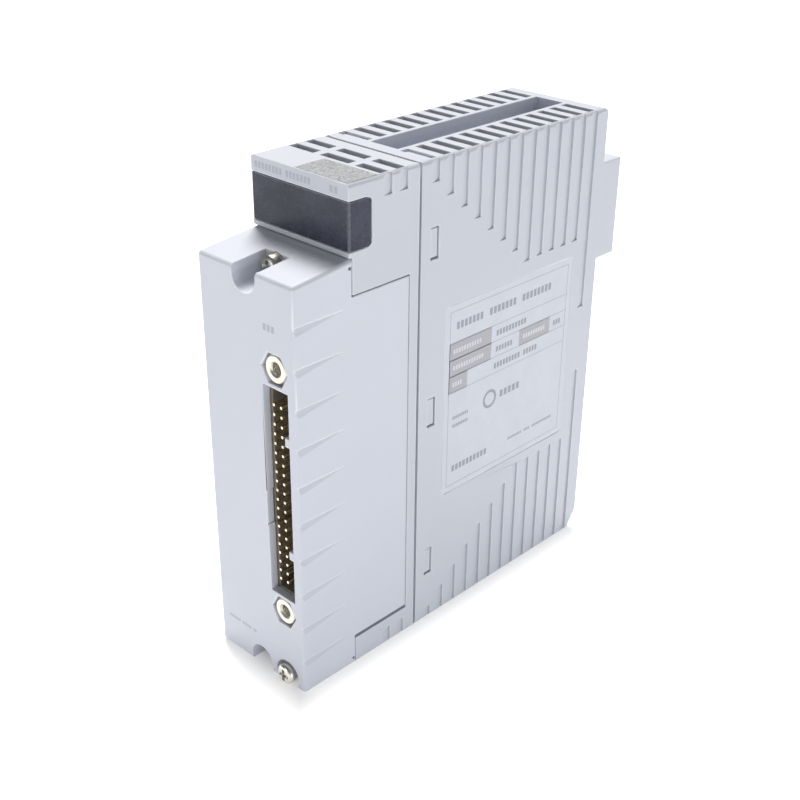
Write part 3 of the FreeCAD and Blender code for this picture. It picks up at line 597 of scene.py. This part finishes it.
def recess_wing(x, z, front, across):
    """One wing of a cross recess, narrower and shorter towards its bottom."""
    work = bmesh.new()
    corners = []
    # Depth, half length and half width in front of the head and at the bottom.
    for depth, reach, half in ((-recess_lead, recess_reach * 1.1, recess_width * 0.55),
                               (recess_depth, recess_reach * 0.42, recess_width * 0.3)):
        for a, b in ((-1, -1), (1, -1), (1, 1), (-1, 1)):
            shift = (a * reach, b * half) if across else (b * half, a * reach)
            corners.append(work.verts.new((x + shift[0], front + depth, z + shift[1])))
    work.faces.new(corners[:4])
    work.faces.new(corners[4:])
    for k in range(4):
        after = (k + 1) % 4
        work.faces.new((corners[k], corners[after], corners[4 + after], corners[4 + k]))
    return finished(work)


def screw(node, thread):
    """Cross-recessed pan-head screw with a shank and the thread grown on it."""
    low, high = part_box(node)
    centre = middle(node)
    radius = (high.x - low.x) / 2
    under = low.y + head_height
    # The head is flat to half its radius and then a quarter ellipse down to its rim.
    bend = [math.radians(15 * k) for k in range(7)]
    profile = [(0, low.y)]
    profile += [(radius * (0.5 + 0.5 * math.sin(t)), low.y + head_crown * (1 - math.cos(t)))
                for t in bend]
    core = shank_radius - thread_rise
    profile += [(radius, under - small_edge), (radius - small_edge, under), (core, under),
                (core, high.y - thread_pitch), (core - thread_pitch, high.y), (0, high.y)]
    work = bmesh.new()
    turned(work, profile, centre.x, centre.z)
    host = bpy.data.objects.new("host", finished(work))
    bpy.context.scene.collection.objects.link(host)
    wings = []
    for across in (True, False):
        wing = bpy.data.objects.new("wing", recess_wing(centre.x, centre.z, low.y, across))
        bpy.context.scene.collection.objects.link(wing)
        cut = host.modifiers.new("recess", "BOOLEAN")
        cut.operation = "DIFFERENCE"
        cut.solver = "EXACT"
        cut.object = wing
        wings.append(wing)
    body = smoothed(settled(host), 30.0)
    for wing in wings:
        bpy.data.objects.remove(wing)
    start = Vector((centre.x, high.y - thread_pitch, centre.z))
    ridge = thread.grow(Radius=core + 0.25 * thread_rise, Rise=0.75 * thread_rise,
                        Pitch=thread_pitch, Height=high.y - under - 2 * thread_pitch, Place=start)
    return joined([body, ridge])


# ---- grown parts -------------------------------------------------------------------------
def thread_tree(material):
    """Helical ridge along an axis towards -Y."""
    tree = Growth("thread", Radius="Float", Rise="Float", Pitch="Float", Height="Float",
                  Place="Vector")
    height = tree.given("Height")
    path = tree.node("GeometryNodeCurveSpiral", None,
                     {"Resolution": 40, "Rotations": height / tree.given("Pitch"),
                      "Start Radius": tree.given("Radius"), "End Radius": tree.given("Radius"),
                      "Height": height})
    ridge = tree.node("GeometryNodeCurvePrimitiveCircle", None,
                      {"Resolution": 3, "Radius": tree.given("Rise")})
    sweep = tree.node("GeometryNodeCurveToMesh", None,
                      {"Curve": path, "Profile Curve": ridge, "Fill Caps": True})
    tree.end(tree.placed(sweep, tree.given("Place")), material)
    return tree


def pin_tree(material):
    """Square pins with pointed tips in a grid, running towards -Y."""
    tree = Growth("pins", Columns="Int", Rows="Int", Pitch="Float", Size="Float", Length="Float",
                  Tip="Float", Place="Vector")
    columns, rows, pitch = tree.given("Columns"), tree.given("Rows"), tree.given("Pitch")
    length, tip = tree.given("Length"), tree.given("Tip")
    grid = tree.node("GeometryNodeMeshGrid", None,
                     {"Size X": (columns - 1) * pitch, "Size Y": (rows - 1) * pitch,
                      "Vertices X": columns, "Vertices Y": rows})
    # Four stations along a pin: its foot, its middle, where the tip begins, and its point.
    line = tree.node("GeometryNodeCurvePrimitiveLine", None, {"End": (0.0, 0.0, 1.0)})
    stations = tree.node("GeometryNodeResampleCurve", None, {"Curve": line, "Count": 4})
    station = tree.node("GeometryNodeInputIndex")
    along = station.over(0.5) * (length / 2) + station.over(1.5) * (length / 2 - tip)
    along = along + station.over(2.5) * tip
    shaped = tree.node("GeometryNodeSetPosition", None,
                       {"Geometry": stations, "Position": tree.vector(0.0, 0.0, along)})
    taper = tree.node("GeometryNodeSetCurveRadius", None,
                      {"Curve": shaped, "Radius": 1 - station.over(2.5) * pin_taper})
    square = tree.node("GeometryNodeCurvePrimitiveQuadrilateral", None,
                       {"Width": tree.given("Size"), "Height": tree.given("Size")})
    pin = tree.node("GeometryNodeCurveToMesh", None,
                    {"Curve": taper, "Profile Curve": square, "Fill Caps": True})
    pins = tree.node("GeometryNodeInstanceOnPoints", None, {"Points": grid, "Instance": pin})
    tree.end(tree.placed(pins, tree.given("Place")), material)
    return tree


# ---- print -------------------------------------------------------------------------------
def plate(work, low, high):
    """Thin box between two corners."""
    box = bmesh.ops.create_cube(work, size=1.0)["verts"]
    size = Vector(high) - Vector(low)
    centre = (Vector(high) + Vector(low)) / 2
    for vert in box:
        vert.co = Vector([vert.co[k] * size[k] for k in range(3)]) + centre


def side_patches(patches, front, top, face):
    """Ink on the +X side. Patches give left, right, upper and lower edge in mm from a corner."""
    work = bmesh.new()
    for left, right, upper, lower in patches:
        plate(work, (face - ink_proud, front + left * mm, top - lower * mm),
              (face + ink_proud, front + right * mm, top - upper * mm))
    return finished(work)


def front_patches(patches, face):
    """Ink on a front face. Patches give left, right, lower and upper edge in mm."""
    work = bmesh.new()
    for left, right, lower, upper in patches:
        plate(work, (left * mm, face - ink_proud, lower * mm),
              (right * mm, face + ink_proud, upper * mm))
    return finished(work)


def words(left, first, last, lengths, gap):
    """Patches of a row of words between two edges, in blocks nearly as wide as the row is high."""
    bars = []
    for length in lengths:
        count = max(1, round(length / (block_step * abs(last - first))))
        step = length / count
        bars += [(left + k * step, left + (k + block_fill) * step, first, last)
                 for k in range(count)]
        left += length + gap
    return bars


def text_rows(rows):
    """Patches of several rows, each given as words takes it."""
    return [bar for row in rows for bar in words(*row)]


def label_film(node, face):
    """A label whose outer side is set back to a face, so that its print can stand on it."""
    low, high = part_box(node)
    work = merged_copy(node)
    for vert in work.verts:
        if vert.co.x > (low.x + high.x) / 2:
            vert.co.x = face
    return finished(work)


def seal_ring(face, y, z):
    """Printed ring on the +X side."""
    work = bmesh.new()
    ring = ring_profile(seal_inside, seal_outside, -ink_proud, ink_proud, ink_chamfer)
    turned(work, ring, 0.0, 0.0, True, 48)
    for vert in work.verts:
        vert.co = Vector((face + vert.co.y, y + vert.co.x, z + vert.co.z))
    return finished(work)


# ---- scene -------------------------------------------------------------------------------
def add_camera():
    """Camera above the front right corner, from its turn, tilt and roll."""
    back = Vector((math.sin(camera_turn) * math.cos(camera_tilt),
                   -math.cos(camera_turn) * math.cos(camera_tilt), math.sin(camera_tilt)))
    level = Vector((math.cos(camera_turn), math.sin(camera_turn), 0.0))
    upright = back.cross(level)
    right = level * math.cos(camera_roll) + upright * math.sin(camera_roll)
    up = upright * math.cos(camera_roll) - level * math.sin(camera_roll)
    data = bpy.data.cameras.new("camera")
    data.lens = camera_lens
    data.sensor_width = camera_sensor
    data.clip_start = 0.01
    camera = bpy.data.objects.new("camera", data)
    axes = Matrix((right, up, back)).transposed().to_4x4()
    camera.matrix_world = Matrix.Translation(camera_place) @ axes
    bpy.context.scene.collection.objects.link(camera)
    bpy.context.scene.camera = camera


def softbox(name, place, size, radiance, colour=(1.0, 1.0, 1.0)):
    """Square light that faces the object's middle."""
    data = bpy.data.lights.new(name, "AREA")
    data.shape = "SQUARE"
    data.size = size
    data.energy = radiance * math.pi * size * size
    data.color = colour
    light = bpy.data.objects.new(name, data)
    aim = (light_target - Vector(place)).to_track_quat("-Z", "Y")
    light.matrix_world = Matrix.Translation(place) @ aim.to_matrix().to_4x4()
    bpy.context.scene.collection.objects.link(light)


def add_studio():
    """Plain sky, three soft lights and a floor just under the object that glows as painted light."""
    world = bpy.data.worlds.new("studio")
    bpy.context.scene.world = world
    world.use_nodes = True
    graph = Graph(world.node_tree)
    sky = graph.node("ShaderNodeBackground", None,
                     {"Color": (1.0, 1.0, 1.0, 1.0), "Strength": sky_strength})
    graph.node("ShaderNodeOutputWorld", None, {"Surface": sky})
    softbox("top_light", (-1.6, 1.25, 3.55), 1.5, 30.0, (1.0, 0.985, 0.955))
    softbox("side_light", (3.0, -0.7, 0.4), 1.2, 4.6)
    softbox("front_light", (-0.9, -3.0, 0.4), 1.2, 2.6)
    bpy.context.scene.view_settings.view_transform = "Standard"
    mesh = bpy.data.meshes.new("floor")
    work = bmesh.new()
    bmesh.ops.create_grid(work, x_segments=8, y_segments=8, size=floor_size / 2)
    work.to_mesh(mesh)
    work.free()
    mesh.materials.append(floor_paint(cad_bounds[0], cad_bounds[1]))
    floor = bpy.data.objects.new("floor", mesh)
    floor.location = (0.0, 0.0, cad_bounds[0][2] - floor_gap)
    bpy.context.scene.collection.objects.link(floor)


add_camera()
add_studio()

# Each moulding's second colour is its painted edge highlight.
housing = moulded_plastic("housing_plastic", (0.60, 0.628, 0.705, 1.0), (0.86, 0.87, 0.91, 1.0))
adapter = moulded_plastic("adapter_plastic", (0.65, 0.68, 0.765, 1.0), (0.88, 0.89, 0.93, 1.0))
finishes = {
    "housing_plastic": housing,
    "adapter_plastic": adapter,
    "smoked_window": smoked_plastic(),
    "black_plastic": connector_plastic("black_plastic", (0.018, 0.019, 0.021, 1.0),
                                       (0.09, 0.09, 0.095, 1.0)),
    "header_plastic": connector_plastic("header_plastic", (0.19, 0.165, 0.135, 1.0),
                                        (0.34, 0.31, 0.27, 1.0)),
    "connector_grey": connector_plastic("connector_grey", (0.36, 0.36, 0.34, 1.0),
                                        (0.5, 0.5, 0.48, 1.0)),
    "led_lens": lamp_lens(),
    "circuit_board": circuit_board(),
    "grey_label": printed_film("grey_label", (0.415, 0.43, 0.46, 1.0), True),
    "rating_label": printed_film("rating_label", (0.63, 0.665, 0.745, 1.0)),
    "nickel_plate": plated_metal("nickel_plate", (0.74, 0.72, 0.66, 1.0), (0.55, 0.52, 0.45, 1.0), 0.2),
    "gold_plate": plated_metal("gold_plate", (0.88, 0.77, 0.56, 1.0), (0.66, 0.52, 0.3, 1.0), 0.22),
    "brass": plated_metal("brass", (0.7, 0.52, 0.25, 1.0), (0.5, 0.36, 0.16, 1.0), 0.3),
    "component_black": connector_plastic("component_black", (0.025, 0.025, 0.026, 1.0),
                                         (0.08, 0.08, 0.08, 1.0)),
    "can_aluminium": plated_metal("can_aluminium", (0.7, 0.7, 0.72, 1.0), (0.5, 0.5, 0.52, 1.0), 0.28),
}

# Every CAD node wears its slot's finish, and some give way to finer pieces below.
node_slots = {part["node"]: part["material_slot"] for part in frame["record"]["subparts"]}
for name, node in nodes.items():
    node.data.materials.clear()
    node.data.materials.append(finishes[node_slots[name]])


# ---- cases and window --------------------------------------------------------------------
for node, piece, body in (("rear_housing", "rear_case", "module"),
                          ("front_housing", "front_case", "module"),
                          ("adapter_housing", "adapter_case", "adapter")):
    slot = node_slots[node]
    keep(piece, softened(node, case_edge), [finishes[slot]], body, [node])
keep("status_window", softened("display_window", window_edge, segments=3), [finishes["smoked_window"]],
     "module", ["display_window"])

# ---- header, nuts, screws and washers ----------------------------------------------------
thread_growth = thread_tree(finishes["nickel_plate"])
pin_low, pin_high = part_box("header_pins")
pin_middle = middle("header_pins")
pin_mesh = pin_tree(finishes["gold_plate"]).grow(
    Columns=pin_columns, Rows=pin_rows, Pitch=pin_pitch, Size=pin_size, Length=pin_high.y - pin_low.y,
    Tip=pin_tip, Place=(pin_middle.x, pin_high.y, pin_middle.z))
keep("header_pin_rows", pin_mesh, [], "adapter", ["header_pins"])
keep("header_body", softened("header_insulator", small_edge, 0.5 * mm), [finishes["header_plastic"]],
     "adapter", ["header_insulator"])

nut_low, nut_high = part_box("jack_nuts")
nut_middle = middle("jack_nuts")
nut_radius = (nut_high.x - nut_low.x) / 2
nut_reach = (nut_high.z - nut_low.z) / 2 - nut_radius * math.cos(math.radians(30))  # middle to an axis
jack_finish = plated_metal("turned_nickel", (0.70, 0.68, 0.62, 1.0), (0.54, 0.51, 0.44, 1.0), 0.32,
                           (nut_middle.x, nut_middle.z, nut_reach))
thread_foot = nut_low.y + jack_thread_start + jack_thread_length
nut_threads = [thread_growth.grow(Radius=jack_bore, Rise=thread_rise, Pitch=thread_pitch,
                                  Height=jack_thread_length,
                                  Place=(nut_middle.x, thread_foot, nut_middle.z + side * nut_reach))
               for side in (-1, 1)]
keep("jack_nut_pair", joined([softened("jack_nuts", small_edge, 0.5 * mm)] + nut_threads),
     [jack_finish], "adapter", ["jack_nuts"])

# The fixing screws are duller than the ground screw: a darker copy of its plating stands as painted
# shade in their notches, and it is rougher too.
for node, piece, body, lit_share in (("upper_screw", "upper_fixing_screw", "upper_fixing", 0.72),
                                 ("lower_screw", "lower_fixing_screw", "lower_fixing", 0.72),
                                 ("ground_screw", "ground_terminal_screw", "ground_fixing", 1.0)):
    place = middle(node)
    plating = [[lit_share * part for part in colour] + [1.0]
               for colour in ((0.76, 0.74, 0.69), (0.56, 0.53, 0.46))]
    bright = plated_metal(piece + "_nickel", *plating, 0.36 - 0.16 * lit_share, (place.x, place.z, 0.0))
    keep(piece, screw(node, thread_growth), [bright], body, [node])
for node, piece, body in (("upper_washer", "upper_flat_washer", "upper_retainer"),
                          ("lower_washer", "lower_flat_washer", "lower_retainer")):
    keep(piece, washer(node, shank_radius + small_edge), [finishes["nickel_plate"]], body,
         [node])
keep("ground_washer_pair", washer_stack("ground_washers"), [finishes["nickel_plate"]], "ground_stack",
     ["ground_washers"])

# ---- labels and print --------------------------------------------------------------------
dark_ink = ink("dark_ink", (0.32, 0.34, 0.405, 1.0))
line_ink = ink("line_ink", (0.42, 0.445, 0.52, 1.0))
cell_ink = ink("cell_ink", (0.42, 0.425, 0.465, 1.0))
pale_ink = ink("pale_ink", (0.62, 0.63, 0.67, 1.0))
label_low, label_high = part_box("rating_label")
film_face = label_high.x - film_sunk
keep("rating_label_film", label_film("rating_label", film_face), [finishes["rating_label"]], "module",
     ["rating_label"])

# The label's print is in mm from its front top corner, backwards and down.
label_width = (label_high.y - label_low.y) / mm
label_height = (label_high.z - label_low.z) / mm
inset, rule = 1.7, 0.22
back, foot = label_width - inset, label_height - inset
rows = (10.5, 15.2, 19.8, 24.5)
rules = [(inset, back, inset, inset + rule), (inset, back, foot - rule, foot),
         (inset, inset + rule, inset, foot), (back - rule, back, inset, foot)]
rules += [(inset, back, row - rule / 2, row + rule / 2) for row in rows]
cells = [(inset, 18.0, rows[0], rows[2]), (inset, 8.8, rows[2], rows[3]),
         (29.5, 42.5, rows[1], rows[2])]
lines = text_rows(((4.2, 5.0, 7.0, (10.5, 11.0, 12.5), 2.2),
                   (20.0, 12.2, 13.8, (12.5,), 1.0),
                   (20.0, 16.9, 18.4, (7.0,), 1.0),
                   (44.2, 16.9, 18.4, (3.4,), 1.0),
                   (19.5, 21.6, 23.2, (11.0, 6.0), 1.2),
                   (3.6, 31.6, 32.5, (6.2,), 1.0),
                   (3.6, 34.0, 34.9, (6.2,), 1.0),
                   (22.5, 30.6, 32.6, (8.6,), 1.0),
                   (3.8, 46.4, 48.2, (14.5,), 1.0),
                   (27.0, 46.8, 47.6, (6.0, 2.6, 8.8), 1.0)))
marks = text_rows(((3.2, 12.3, 13.6, (11.0,), 1.0),
                   (3.2, 16.9, 18.2, (12.0,), 1.0),
                   (3.2, 21.6, 22.9, (3.8,), 1.0),
                   (31.2, 16.9, 18.2, (9.5,), 1.0)))
for name, patches, face, colour in (("label_cells", cells, film_face, cell_ink),
                                    ("label_rules", rules, film_face, line_ink),
                                    ("label_words", lines, film_face, dark_ink),
                                    ("label_cell_marks", marks, film_face + ink_proud, pale_ink)):
    keep(name, side_patches(patches, label_low.y, label_high.z, face), [colour], "module")
seal = seal_ring(film_face, label_low.y + 18.3 * mm, label_high.z - 31.6 * mm)
keep("label_seal_ring", seal, [dark_ink], "module")

# The front faces' print is in mm, X first and then Z.
nose_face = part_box("display_window")[0].y
adapter_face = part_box("adapter_housing")[0].y
strip = text_rows(((-14.9, 127.2, 128.8, (9.8, 8.6), 1.0), (10.4, 127.1, 128.7, (3.0,), 1.0)))
keep("strip_print", front_patches(strip, nose_face), [line_ink], "module")
faint = text_rows(((6.2, 98.2, 99.8, (4.2,), 1.0), (-12.8, 9.5, 10.4, (4.6, 3.8, 1.4), 0.6)))
keep("adapter_print", front_patches(faint, adapter_face), [line_ink], "adapter")
